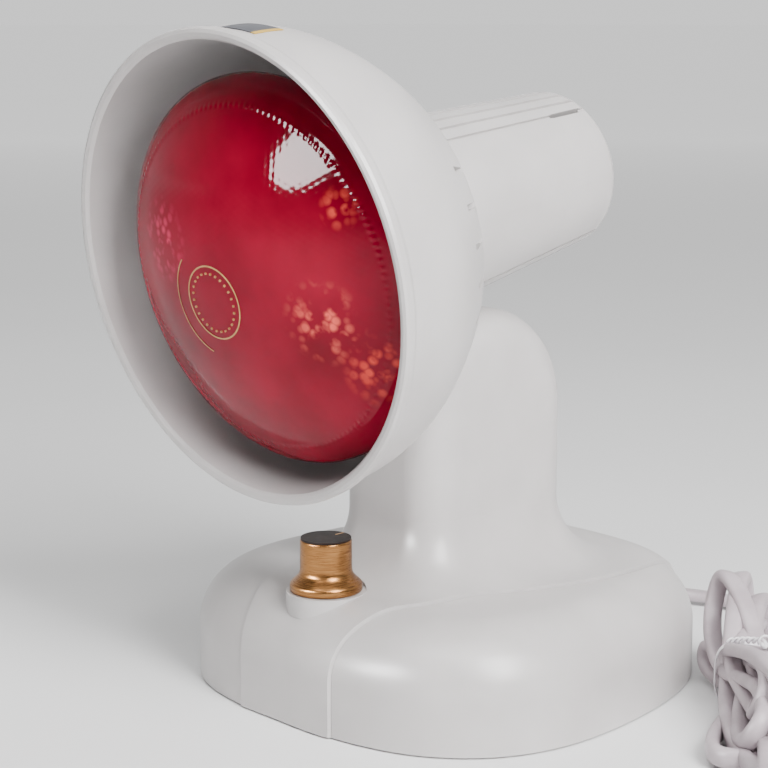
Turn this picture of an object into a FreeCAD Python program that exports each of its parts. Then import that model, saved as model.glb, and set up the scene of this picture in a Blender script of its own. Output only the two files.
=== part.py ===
import FreeCAD, Part

import math
import os
import re

import Sketcher
from FreeCAD import Placement, Rotation, Vector

# A tabletop infrared heat lamp: a weighted base with a dimmer dial and a domed neck, a tilting
# lamp head with a bell shade and a tapered lamp-holder housing, a red reflector lamp, and a flat
# twin mains cord tied in a hank. The origin is on the table, under the axis of the neck. +Z is
# up and the lamp shines towards -Y. All lengths are millimetres and all angles are degrees.

X, Y, Z = Vector(1, 0, 0), Vector(0, 1, 0), Vector(0, 0, 1)

doc = FreeCAD.newDocument("heat_lamp")
sheet = doc.addObject("Spreadsheet::Sheet", "Sizes")

SIZES = {
    # shells of the base
    "wall": 2.4,
    "shell_bottom": 0.6,
    "base_top": 39.6,
    "base_edge_radius": 22,
    "seam_gap": 0.3,
    "cheek_step": 1.1,
    "boss_radius": 3.6,
    "plate_bottom": 2.6,
    "plate_thickness": 2.5,
    "plate_inset": 3.9,
    "pad_inset": 23,
    # neck and tilting joint
    "neck_half_width": 22.3,
    "neck_edge_radius": 12,
    "neck_flare": 20.5,
    "dome_radius": 34.3,
    "pivot_back": 1.0,
    "pivot_height": 91.5,
    "rib_bottom": 54,
    "rib_top": 60,
    "arm_half_width": 6,
    "arm_slot_half_width": 6.6,
    "arm_eye_radius": 9.5,
    "arm_half_depth": 7,
    "tilt_down": 12,
    "tilt_up": 60,
    "bolt_radius": 3,
    "bolt_clearance": 0.05,
    "ear_inside": 7.1,
    "ear_thickness": 2,
    "ear_radius": 13,
    # dimmer
    "dial_front": -57.9,
    "dial_seat": 39.9,
    "dial_pad_radius": 12.8,
    "dial_lift": 0.15,
    "knob_radius": 8.3,
    "knob_skirt_radius": 11.6,
    "knob_height": 17.2,
    "knob_band": 2.2,
    "knob_flare_top": 5.2,
    "knob_cap_thickness": 0.6,
    "dial_shaft_radius": 3,
    "board_top": 27.8,
    "board_thickness": 1.6,
    # head
    "head_tilt": 9.28,
    "rim_front": -95.8,
    "rim_height": 144.5,
    "rim_radius": 72.8,
    "shade_wall": 2.1,
    "shade_hole_radius": 32.5,
    "vent_count": 6,
    "vent_pitch": 10.9,
    "vent_first": -24.5,
    "vent_width": 1.7,
    "housing_start": 58.4,
    "housing_end": 150.7,
    "housing_front_radius": 32.35,
    "housing_rear_radius": 26.45,
    "housing_edge_radius": 6,
    "housing_wall": 2.3,
    "flange_radius": 40,
    "flange_start": 56.2,
    "groove_width": 1.5,
    "groove_depth": 0.9,
    "groove_pitch": 10.7,
    # lamp
    "lamp_pivot": 120,
    "lamp_yaw": 2.35,
    "lamp_pitch": 1.5,
    "lamp_radius": 60.5,
    "lamp_front": -6.2,
    "lamp_length": 136,
    "lens_radius": 120,
    "glass_wall": 2.4,
    "cap_radius": 13.2,
    # mains cord
    "cord_width": 6.2,
    "exit_height": 11,
    "gland_length": 12,
}

for row, (name, number) in enumerate(SIZES.items(), 1):
    sheet.set(f"A{row}", name)
    sheet.set(f"B{row}", str(number))
    sheet.setAlias(f"B{row}", name)
doc.recompute()


def cell(expression):
    """An expression with the sheet's name put before each of its aliases."""
    return re.sub(r"[a-z_]{4,}", lambda word: "Sizes." + word[0], str(expression))


def value(expression):
    """What an expression of the sheet's aliases comes to."""
    return float(sheet.evalExpression(cell(expression)))


# Placements: the world, the head (origin at the rim's centre, x to the side, y down, z back
# along the shade's axis) and the lamp, which sits a little askew in its holder.

WORLD = Placement()
HEAD = Placement(Vector(0, value("rim_front"), value("rim_height")),
                 Rotation(X, value("head_tilt") - 90))
SEAT = Vector(0, 0, value("lamp_pivot"))
ASKEW = Rotation(Y, -value("lamp_yaw")).multiply(Rotation(X, value("lamp_pitch")))
LAMP = HEAD.multiply(Placement(SEAT, Rotation()).multiply(
    Placement(Vector(), ASKEW)).multiply(Placement(-SEAT, Rotation())))

NODES = []


def node(item, label, frame=WORLD):
    """Keeps a document object as a sub-part, under its label and in its frame."""
    item.Label = label
    item.Placement = frame.multiply(item.Placement)
    NODES.append(item)
    return item


def feature(label, solid, frame=WORLD):
    """A sub-part whose shape is made with Part's own functions."""
    item = doc.addObject("Part::Feature", label)
    item.Shape = solid
    item.Placement = frame
    item.Label = label
    NODES.append(item)
    return item


# ---------------------------------------------------------------- bound features

def plane_of(body, role):
    return next(f for f in body.Origin.OriginFeatures if f.Role == role)


def outline(body, role, corners):
    """A sketch of straight sides whose corners are bound to the sheet."""
    sketch = body.newObject("Sketcher::SketchObject", body.Name + "_outline")
    sketch.AttachmentSupport = [(plane_of(body, role), "")]
    sketch.MapMode = "FlatFace"
    places = [Vector(value(across), value(up), 0) for across, up in corners]
    count = len(places)
    for i in range(count):
        sketch.addGeometry(Part.LineSegment(places[i], places[(i + 1) % count]), False)
    for i in range(count):
        sketch.addConstraint(Sketcher.Constraint("Coincident", i, 2, (i + 1) % count, 1))
    for i, (across, up) in enumerate(corners):
        bind_corner(sketch, i, "DistanceX", -2, across, places[i].x)
        bind_corner(sketch, i, "DistanceY", -1, up, places[i].y)
    return sketch


def bind_corner(sketch, corner, kind, axis, expression, length):
    if abs(length) < 1e-9:
        sketch.addConstraint(Sketcher.Constraint("PointOnObject", corner, 1, axis))
        return
    index = sketch.addConstraint(Sketcher.Constraint(kind, -1, 1, corner, 1, length))
    sketch.setExpression(f"Constraints[{index}]", cell(expression))


def turned(label, corners, frame=WORLD):
    """A body turned about its own Z axis; corners are (radius, height)."""
    body = doc.addObject("PartDesign::Body", label)
    turn = body.newObject("PartDesign::Revolution", label + "_turn")
    turn.Profile = outline(body, "XZ_Plane", corners)
    turn.ReferenceAxis = (turn.Profile[0], ["V_Axis"])
    turn.Angle = 360
    return node(body, label, frame)


def primitive(kind, sizes, base=("0", "0", "0"), turn=Rotation()):
    """A Part primitive whose sizes and place are bound to the sheet."""
    item = doc.addObject("Part::" + kind, kind)
    for name, expression in sizes.items():
        item.setExpression(name, cell(expression))
    item.Placement = Placement(Vector(*map(value, base)), turn)
    for name, expression in zip("xyz", base):
        item.setExpression(f".Placement.Base.{name}", cell(expression))
    return item


def rod(radius, length, base, turn=Rotation()):
    return primitive("Cylinder", {"Radius": radius, "Height": length}, base, turn)


def block(size, base):
    return primitive("Box", dict(zip(("Length", "Width", "Height"), size)), base)


def joined(pieces):
    item = doc.addObject("Part::MultiFuse", "Fuse")
    item.Shapes = pieces
    return item


def less(base, *tools):
    item = doc.addObject("Part::Cut", "Cut")
    item.Base = base
    item.Tool = tools[0] if len(tools) == 1 else joined(list(tools))
    return item


def group(label, pieces, frame=WORLD):
    """Separate solids that share one sub-part, such as a set of screws."""
    item = doc.addObject("Part::Compound", label)
    item.Links = pieces
    return node(item, label, frame)


ALONG_X = Rotation(Y, 90)
ALONG_Y = Rotation(X, -90)
UPSIDE_DOWN = Rotation(X, 180)


def screw(place, shank, turn=Rotation()):
    """A pan-head screw: its head starts at place and its shank runs along its own +Z."""
    head = rod("2.8", "1.6", ("0", "0", "0"))
    stem = rod("1.45", f"{shank} + 1.6", ("0", "0", "0"))
    item = joined([head, stem])
    item.Placement = Placement(Vector(*place), turn)
    return item


# ---------------------------------------------------------------- solids made in code

def solid_of_turn(edges, angle=360, start=0):
    """Turns a closed profile in the XZ plane about Z."""
    face = Part.Face(Part.Wire(Part.__sortEdges__(edges)))
    face.rotate(Vector(), Z, start)
    shape = face.revolve(Vector(), Z, angle)
    return Part.makeSolid(shape) if shape.ShapeType != "Solid" else shape


def curve_through(points):
    curve = Part.BSplineCurve()
    curve.interpolate([Vector(radius, 0, height) for radius, height in points])
    return curve


def shifted(points, distance):
    """The points moved along the normal of the curve through them, towards the axis."""
    curve = curve_through(points)
    moved = []
    for radius, height in points:
        place = Vector(radius, 0, height)
        along = curve.tangent(curve.parameter(place))[0]
        normal = along.cross(Y)
        if normal.x > 0 or (abs(normal.x) < 1e-6 and normal.z < 0):
            normal = -normal
        place = place + normal * distance
        moved.append((max(place.x, 0), place.z))
    return moved


def polygon(points):
    places = [Vector(radius, 0, height) for radius, height in points]
    return [Part.LineSegment(a, b).toShape() for a, b in zip(places, places[1:])]


def shell_of_turn(outside, thickness):
    """A turned shell whose outer curve runs through the given points."""
    inside = shifted(outside, thickness)
    edges = [curve_through(outside).toShape(), curve_through(inside).toShape()]
    edges += polygon([outside[0], inside[0]]) + polygon([outside[-1], inside[-1]])
    return solid_of_turn(edges)


def tube(points, radius):
    """A tube along straight runs that tangent arcs join, each arc as large as its runs allow."""
    places = [Vector(*p) for p in points]
    edges, start, radii = [], places[0], []
    for before, corner, after in zip(places, places[1:], places[2:]):
        into, out = corner - before, after - corner
        half_turn = into.getAngle(out) / 2
        cut = 0.45 * min(into.Length, out.Length)
        radii.append(round(cut / math.tan(half_turn), 1))
        into.normalize()
        out.normalize()
        first, last = corner - into * cut, corner + out * cut
        middle = corner + (out - into).normalize() * (cut * math.tan(half_turn / 2))
        edges.append(Part.LineSegment(start, first).toShape())
        edges.append(Part.Arc(first, middle, last).toShape())
        start = last
    edges.append(Part.LineSegment(start, places[-1]).toShape())
    path = Part.Wire(edges)
    ring = Part.Circle(places[0], places[1] - places[0], radius).toShape()
    solid = path.makePipeShell([Part.Wire(ring)], True, True)
    return solid, path.Length, radii


# ---------------------------------------------------------------- base shells

# Half of the base's plan, front to rear, as (side, back).
PLAN = [(0, -77), (30, -75.6), (54, -67), (70, -51), (77.8, -29), (78.6, -8), (75, 20),
        (66.5, 47), (46, 70.5), (0, 79.5)]
PLAN_HALF_WIDTH, PLAN_HALF_DEPTH, PLAN_CENTRE = 78.8, 78.2, 1.2

# The seam between the centre shell and a cheek, in plan, front to rear.
SEAM = [(20.6, -84), (20.6, -77), (22, -72), (24.4, -66), (27.6, -55), (32.3, -41),
        (38, -22), (45.3, -3), (50.4, 14.5), (51.6, 33), (47, 53), (41, 69), (35, 90)]
FAR = 110

CENTRE_BOSSES = [(-14.5, -66.5), (14.5, -66.5), (-34, 61), (34, 61)]
CHEEK_BOSSES = [(58, -38), (67, 10)]


def plan(inset, height):
    """The base's smooth outline, drawn in by inset, as a face at a height."""
    half = [(side * (1 - inset / PLAN_HALF_WIDTH),
             PLAN_CENTRE + (back - PLAN_CENTRE) * (1 - inset / PLAN_HALF_DEPTH))
            for side, back in PLAN]
    points = half + [(-side, back) for side, back in half[-2:0:-1]]
    curve = Part.BSplineCurve()
    curve.interpolate([Vector(a, b, height) for a, b in points], PeriodicFlag=True)
    return Part.Face(Part.Wire(curve.toShape()))


def flat_edges_at(solid, height):
    return [e for e in solid.Edges
            if abs(e.BoundBox.ZMin - height) < 1e-3 and abs(e.BoundBox.ZMax - height) < 1e-3]


def neck_form(inset):
    """The neck: straight below, a dome about the tilting axis above, all its edges round."""
    half, radius = value("neck_half_width") - inset, value("dome_radius") - inset
    back, height, foot = value("pivot_back"), value("pivot_height"), value("base_top") / 2
    straight = Part.makeBox(2 * half, 2 * radius, height - foot,
                            Vector(-half, back - radius, foot))
    dome = Part.makeCylinder(radius, 2 * half, Vector(-half, back, height), X)
    neck = straight.fuse(dome).removeSplitter()
    sides = [e for e in neck.Edges
             if e.BoundBox.XLength < 1e-3 and e.BoundBox.ZMax > foot + 1]
    return neck.makeFillet(value("neck_edge_radius") - inset / 2, sides)


def base_form(inset):
    """The outer form of the base and its neck, drawn in by inset."""
    top, bottom = value("base_top") - inset, value("shell_bottom")
    base = plan(inset, bottom).extrude(Vector(0, 0, top - bottom))
    base = base.makeFillet(value("base_edge_radius") - inset, flat_edges_at(base, top))
    whole = base.fuse(neck_form(inset)).removeSplitter()
    reach = value("neck_half_width") + value("dome_radius")
    junction = [e for e in flat_edges_at(whole, top) if e.BoundBox.DiagonalLength < reach]
    return whole.makeFillet(value("neck_flare") + inset, junction)


def cheek_side(gap):
    """All that lies outside the right-hand seam, from gap past it."""
    curve = Part.BSplineCurve()
    curve.interpolate([Vector(side + gap, back, 0) for side, back in SEAM])
    first, last = curve.StartPoint, curve.EndPoint
    corners = [last, Vector(FAR, last.y, 0), Vector(FAR, first.y, 0), first]
    edges = [curve.toShape()]
    edges += [Part.LineSegment(a, b).toShape() for a, b in zip(corners, corners[1:])]
    return Part.Face(Part.Wire(edges)).extrude(Vector(0, 0, FAR))


def boss(place, inside):
    """A screw boss from the base plate up to the inside of a shell."""
    foot = value("plate_bottom + plate_thickness")
    post = Part.makeCylinder(value("boss_radius"), 40, Vector(*place, foot))
    return post.common(inside)


def pilot(place):
    return Part.makeCylinder(1.5, 14, Vector(*place, 0))


def mirrored(solid):
    return solid.mirror(Vector(), X)


def dial_pad():
    """The round seat of the dial: what it adds to the centre shell, and what it cuts away."""
    place = Vector(0, value("dial_front"), 0)
    seat, radius = value("dial_seat"), value("dial_pad_radius")
    wall = value("wall")
    cup = Part.makeCylinder(radius, 6.6, place + Z * (seat - 6.6))
    hollow = Part.makeCylinder(radius - wall, 6, place + Z * (seat - wall - 6))
    above = Part.makeCylinder(radius, 20, place + Z * seat)
    bush_hole = Part.makeCylinder(4.7, 20, place + Z * (seat - 10))
    return cup, above, hollow.fuse(bush_hole)


def arm_slot():
    """The slot in the dome that the tilting arm moves in."""
    half, back, height = value("arm_slot_half_width"), value("pivot_back"), value("pivot_height")
    radius = value("dome_radius")
    spare = math.degrees(math.asin(value("arm_half_depth") / (radius - 5))) + 1.5
    rest = 90 + value("head_tilt")
    start, end = rest - value("tilt_up") - spare, rest + value("tilt_down") + spare
    wedge = Part.makeCylinder(radius + 6, 2 * half, Vector(), Z, end - start)
    core = Part.makeCylinder(radius - 8, 2 * half)
    slot = wedge.cut(core)
    slot.Placement = Placement(Vector(-half, back, height),
                               Rotation(Y, 90).multiply(Rotation(Z, start + 90)))
    return slot


def base_shells():
    wall, step = value("wall"), value("cheek_step")
    outer, inner = base_form(0), base_form(wall)
    right = cheek_side(0)
    both = right.fuse(mirrored(right))
    band = outer.cut(inner).cut(both)

    cup, above, hollow = dial_pad()
    back, half = value("pivot_back"), value("neck_half_width")
    rib = Part.makeBox(2 * half, 80, value("rib_top - rib_bottom"),
                       Vector(-half, back - 40, value("rib_bottom"))).common(inner)
    band = band.cut(above).fuse([cup, rib] + [boss(p, inner) for p in CENTRE_BOSSES])
    holes = [pilot(p) for p in CENTRE_BOSSES]
    holes += [Part.makeCylinder(1.5, 20, Vector(0, y, value("rib_top") - 12))
              for y in BRACKET_SCREWS]
    holes.append(Part.makeCylinder(3, 20, Vector(0, LEAD_BACK, value("rib_top") - 12)))
    holes.append(Part.makeCylinder(4.6, 10, Vector(0, PLAN[-1][1] - 6, value("exit_height")), Y))
    holes.append(arm_slot())
    feature("centre_shell", band.cut(hollow).cut(holes))

    lower_inner = base_form(wall + step)
    cheek = base_form(step).cut(lower_inner).common(cheek_side(value("seam_gap")))
    cheek = cheek.fuse([boss(p, lower_inner) for p in CHEEK_BOSSES])
    cheek = cheek.cut([pilot(p) for p in CHEEK_BOSSES])
    feature("right_cheek", cheek)
    feature("left_cheek", mirrored(cheek))


# ---------------------------------------------------------------- inside the base

BRACKET_SCREWS = (-5.5, 7.5)
LEAD_BACK = 24
BOARD_POSTS = [(-25, -41), (25, -41)]
CLAMP_POSTS = [(-8.5, 68), (8.5, 68)]


def all_bosses():
    left = [(-side, back) for side, back in CHEEK_BOSSES]
    return CENTRE_BOSSES + CHEEK_BOSSES + left


def base_plate():
    low, thick = value("plate_bottom"), value("plate_thickness")
    floor = plan(value("plate_inset"), low).extrude(Vector(0, 0, thick))
    top = low + thick
    posts = [Part.makeCylinder(3, value("board_top - board_thickness") - top,
                               Vector(*p, top)) for p in BOARD_POSTS]
    posts += [Part.makeCylinder(2.8, value("exit_height") + 3.1 - top, Vector(*p, top))
              for p in CLAMP_POSTS]
    holes = [Part.makeCylinder(1.7, 10, Vector(*p, 0)) for p in all_bosses()]
    holes += [Part.makeCylinder(1.5, 8, Vector(*p, value("board_top") - 8)) for p in BOARD_POSTS]
    holes += [Part.makeCylinder(1.5, 8, Vector(*p, value("exit_height") - 4))
              for p in CLAMP_POSTS]
    slots = [Part.makeBox(3, 18, 10, Vector(x - 1.5, -16, 0)) for x in (-61, 61)]
    feature("base_plate", floor.fuse(posts).cut(holes + slots))


def base_hardware():
    low = value("plate_bottom")
    group("base_screws", [screw((a, b, low - 1.6), 10.5) for a, b in all_bosses()])
    pad = plan(value("pad_inset"), 0).extrude(Vector(0, 0, low))
    feature("anti_slip_pad", pad)
    node(block(("96", "74", "8"), ("-48", "-34", "plate_bottom + plate_thickness + 0.1")),
         "ballast_plate")


def dimmer():
    top = value("board_top")
    board = less(block(("60", "42", "board_thickness"),
                       ("-30", "-62.5", "board_top - board_thickness")),
                 *[rod("1.6", "10", (str(a), str(b), "board_top - 5")) for a, b in BOARD_POSTS])
    node(board, "dimmer_board")
    group("board_screws", [screw((a, b, top + 1.6), 6, UPSIDE_DOWN) for a, b in BOARD_POSTS])
    node(primitive("Torus", {"Radius1": "7", "Radius2": "3.2"},
                   ("18.5", "-30", "board_top + 3.3")), "suppressor_choke")
    node(block(("17", "8", "9"), ("-24", "-32", "board_top + 0.05")), "film_capacitor")
    tab = joined([block(("12", "1.5", "10"), ("-5", "-26", "board_top + 0.05")),
                  block(("12", "5", "1.5"), ("-5", "-26", "board_top + 0.05"))])
    node(tab, "triac_heat_sink")

    dial = Placement(Vector(0, value("dial_front"), 0), Rotation())
    seat = "dial_seat - wall"
    turned("potentiometer_case",
           [("dial_shaft_radius + 0.05", f"{seat} - 9.2"), ("10", f"{seat} - 9.2"),
            ("10", f"{seat} - 0.1"), ("dial_shaft_radius + 0.05", f"{seat} - 0.1")], dial)
    turned("potentiometer_bush",
           [("dial_shaft_radius + 0.05", f"{seat} - 0.05"), ("4.6", f"{seat} - 0.05"),
            ("4.6", "dial_seat + 2.8"), ("dial_shaft_radius + 0.05", "dial_seat + 2.8")], dial)
    nut = primitive("Prism", {"Circumradius": "6.2", "Height": "2"},
                    ("0", "dial_front", "dial_seat + 0.02"))
    node(less(nut, rod("4.65", "10", ("0", "dial_front", "dial_seat - 2"))), "potentiometer_nut")


def knob():
    """The turned dial, its dark top and its grub screw, on the potentiometer's shaft."""
    foot, bore = "dial_seat + dial_lift", "dial_shaft_radius + 0.02"
    rim = f"{foot} + knob_height - knob_cap_thickness"
    dial = Placement(Vector(0, value("dial_front"), 0), Rotation())
    turned("dial_knob",
           [("knob_skirt_radius - 2.2", foot), ("knob_skirt_radius", foot),
            ("knob_skirt_radius", f"{foot} + knob_band"),
            ("knob_radius", f"{foot} + knob_flare_top"),
            ("knob_radius", rim), ("0", rim), ("0", f"{rim} - 2"), (bore, f"{rim} - 2"),
            (bore, f"{foot} + 5"), ("knob_skirt_radius - 4", f"{foot} + 5")], dial)
    turned("dial_cap",
           [("0", rim), ("knob_radius - 0.25", rim),
            ("knob_radius - 0.25", f"{rim} + knob_cap_thickness"),
            ("0", f"{rim} + knob_cap_thickness")], dial)
    node(rod("dial_shaft_radius", "22.4", ("0", "dial_front", f"{rim} - 24.5")),
         "potentiometer_shaft")


def wiring():
    """The terminal block, the cord's entry and clamp, and the leads inside the base."""
    node(block(("26", "14", "14"), ("-13", "45", "plate_bottom + plate_thickness + 0.05")),
         "terminal_block")
    lead, _, _ = tube([(0, 44.9, 16.2), (0, 35, 16.2), (0, 26, 25), (0, LEAD_BACK, 40),
                       (0, LEAD_BACK + 0.3, 58), (0, LEAD_BACK + 1, 78)], 2)
    feature("neck_lead", lead)
    link, _, _ = tube([(-8, 44.9, 16), (-8, 34, 16), (-8.6, 16, 18.5), (-8.2, 1, 22.5),
                       (-8, -9.5, 27), (-8, -20.3, 27)], 1.8)
    feature("dimmer_lead", link)

    rear = str(PLAN[-1][1])
    axis = Placement(Vector(0, 0, value("exit_height")), ALONG_Y)
    turned("cord_gland",
           [("cord_width / 2 + 0.05", f"{rear} - 5"), ("5.6", f"{rear} - 5"),
            ("5.6", f"{rear} - 2.7"), ("4.5", f"{rear} - 2.7"), ("4.5", f"{rear} + 0.1"),
            ("6", f"{rear} + 0.1"), ("5.6", f"{rear} + 4"), ("4", f"{rear} + gland_length"),
            ("cord_width / 2 + 0.05", f"{rear} + gland_length")], axis)
    node(rod("cord_width / 2", f"{rear} + gland_length - 59", ("0", "59", "exit_height"),
             ALONG_Y), "cord_entry")
    bar = less(block(("23", "6", "3"), ("-11.5", "65", "exit_height + 3.2")),
               *[rod("1.6", "9", (str(a), str(b), "exit_height")) for a, b in CLAMP_POSTS])
    node(bar, "cord_clamp")
    group("clamp_screws", [screw((a, b, value("exit_height") + 7.85), 6, UPSIDE_DOWN)
                           for a, b in CLAMP_POSTS])


# ---------------------------------------------------------------- tilting joint

def hinge():
    """The bracket, bolt, nut and washers that hold the tilting arm with friction."""
    pivot = ("pivot_back", "pivot_height")
    inside, thick = "ear_inside", "ear_thickness"
    foot = "rib_top + 0.05"
    ears = []
    for side in (f"-{inside} - {thick}", inside):
        ears.append(rod("ear_radius", thick, (side, *pivot), ALONG_X))
        ears.append(block((thick, "20", f"pivot_height - {foot}"),
                          (side, "pivot_back - 10", foot)))
    web = block((f"2 * {inside} + 1", "20", thick), (f"-{inside} - 0.5", "pivot_back - 10", foot))
    holes = [rod("1.7", "10", ("0", str(y), "rib_top - 2")) for y in BRACKET_SCREWS]
    holes.append(rod("bolt_radius + 0.1", "40", ("-20", *pivot), ALONG_X))
    node(less(joined(ears + [web]), *holes), "hinge_bracket")
    top = value(foot) + value(thick)
    group("bracket_screws", [screw((0, y, top + 1.65), 6.5, UPSIDE_DOWN)
                             for y in BRACKET_SCREWS])

    outside = f"{inside} + {thick}"
    head = primitive("Prism", {"Circumradius": "5.7", "Height": "4"},
                     (f"{outside} + 0.05", *pivot), ALONG_X)
    stem = rod("bolt_radius", f"2 * ({outside}) + 8", (f"-({outside}) - 7.5", *pivot), ALONG_X)
    node(joined([head, stem]), "pivot_bolt")
    nut = primitive("Prism", {"Circumradius": "5.7", "Height": "4.6"},
                    (f"-({outside}) - 6.2", *pivot), ALONG_X)
    bore = rod("bolt_radius + 0.1", "40", ("-30", *pivot), ALONG_X)
    node(less(nut, bore), "pivot_nut")
    spring = rod("6", "1.4", (f"-({outside}) - 1.5", *pivot), ALONG_X)
    spring_bore = rod("bolt_radius + 0.2", "40", ("-30", *pivot), ALONG_X)
    node(less(spring, spring_bore), "spring_washer")
    discs = []
    for start in ("arm_half_width + 0.1", f"-{inside} + 0.1"):
        disc = rod("8.5", f"{inside} - arm_half_width - 0.2", (start, *pivot), ALONG_X)
        discs.append(less(disc, rod("bolt_radius + 0.2", "40", ("-20", *pivot), ALONG_X)))
    group("friction_washers", discs)


def housing_cone(extra, start, end):
    """The housing's outer cone, widened by extra, between two places on the head's axis."""
    first, last = value("housing_start"), value("housing_end")
    wide, narrow = value("housing_front_radius"), value("housing_rear_radius")
    slope = (narrow - wide) / (last - first)
    radii = [wide + slope * (place - first) + extra for place in (start, end)]
    cone = Part.makeCone(radii[0], radii[1], end - start, Vector(0, 0, start))
    cone.Placement = HEAD.multiply(cone.Placement)
    return cone


def arm_direction():
    """The arm's own axis, square to the shade's axis and pointing up into the housing."""
    return HEAD.Rotation.multVec(-Y)


def tilt_arm():
    half, eye = value("arm_half_width"), value("arm_eye_radius")
    depth = value("arm_half_depth")
    pivot = Vector(0, value("pivot_back"), value("pivot_height"))
    along = Placement(pivot, Rotation(Z, arm_direction()))
    ring = Part.makeCylinder(eye, 2 * half, pivot - X * half, X)
    stem = Part.makeBox(2 * half, 2 * depth, 70, Vector(-half, -depth, 0))
    stem.Placement = along
    saddle = Part.makeBox(2 * half + 10, 16, 22,
                          Vector(-half - 5, -14, value("dome_radius") + 2.2))
    saddle.Placement = along
    body = ring.fuse(stem.fuse(saddle).cut(housing_cone(0.05, 60, 140)))
    body = max(body.removeSplitter().Solids, key=lambda s: s.Volume)
    body = max(body.cut(housing_cone(0.05, 60, 140)).Solids,
               key=lambda s: s.BoundBox.ZMin < value("pivot_height"))
    bore = Part.makeCylinder(value("bolt_radius + bolt_clearance"), 40, pivot - X * 20, X)
    channel = Part.makeCylinder(2.3, 40, pivot + arm_direction() * 18, arm_direction())
    holes = [Part.makeCylinder(1.5, 60, pivot + HEAD.Rotation.multVec(Vector(*place))
                               + arm_direction() * 30, arm_direction()) for place in ARM_SCREWS]
    feature("tilt_arm", body.cut([bore, channel] + holes))


# The arm screws, from the pivot, in the head's frame.
ARM_SCREWS = [(-8, 0, -6), (8, 0, -6)]


# ---------------------------------------------------------------- head

# The shade's outer curve behind its rim bead, as (radius, distance behind the rim).
SHADE = [(71.4, 5.4), (71.3, 12), (70.5, 20), (67.7, 30), (62.6, 40), (55.6, 50.2),
         (46.9, 58.4), (39.5, 62.2), (34, 63.9)]
SHADE_SCREW_RADIUS = 36.3
SHADE_SCREW_ANGLES = (30, 150, 270)


def at_angles(solid, angles):
    copies = []
    for angle in angles:
        copy = solid.copy()
        copy.rotate(Vector(), Z, angle)
        copies.append(copy)
    return copies


def shade():
    rim, wall, hole = value("rim_radius"), value("shade_wall"), value("shade_hole_radius")
    inside = shifted(SHADE, wall)
    lip = inside[0][0]
    edges = [curve_through(SHADE).toShape(), curve_through(inside).toShape()]
    bead = [(lip, 1.3), (lip + 0.9, 0.3), (rim - 1.4, 0), (rim - 0.4, 0.4), (rim, 1.4),
            (rim, 3.2), (rim - 0.4, 4.2), SHADE[0]]
    edges += polygon([inside[0]] + bead)
    end = SHADE[-1]
    edges += polygon([end, (hole, end[1] + 0.1), (hole, inside[-1][1]), inside[-1]])
    shell = solid_of_turn(edges)
    post = Part.makeCylinder(3.4, 3, Vector(SHADE_SCREW_RADIUS, 0, value("housing_start") + 0.05))
    hollow = Part.makeCylinder(1.5, 3.8, Vector(SHADE_SCREW_RADIUS, 0, value("housing_start")))
    vent = Part.makeBox(6.8, value("vent_width"), 20, Vector(55, -value("vent_width") / 2, 34))
    count = int(value("vent_count"))
    shell = shell.fuse(at_angles(post, SHADE_SCREW_ANGLES))
    shell = shell.cut(at_angles(hollow, SHADE_SCREW_ANGLES))
    right = [value("vent_first") + value("vent_pitch") * i for i in range(count)]
    vents = at_angles(vent, right + [180 - angle for angle in right])
    feature("shade", shell.cut(vents), HEAD)


def shade_label():
    """A small blank sticker on top of the shade."""
    curve = curve_through(SHADE)
    start, end = (curve.parameter(curve_point) for curve_point in
                  (curve.value(curve.parameter(Vector(71.4, 0, 8))),
                   curve.value(curve.parameter(Vector(70.6, 0, 19)))))
    steps = [curve.value(start + (end - start) * i / 6) for i in range(7)]
    outside = [(place.x, place.z) for place in steps]
    base = shifted(outside, -0.06)
    face = shifted(outside, -0.26)
    edges = [curve_through(base).toShape(), curve_through(face).toShape()]
    edges += polygon([base[0], face[0]]) + polygon([base[-1], face[-1]])
    feature("blank_label", solid_of_turn(edges, 12, -89), HEAD)


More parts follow.
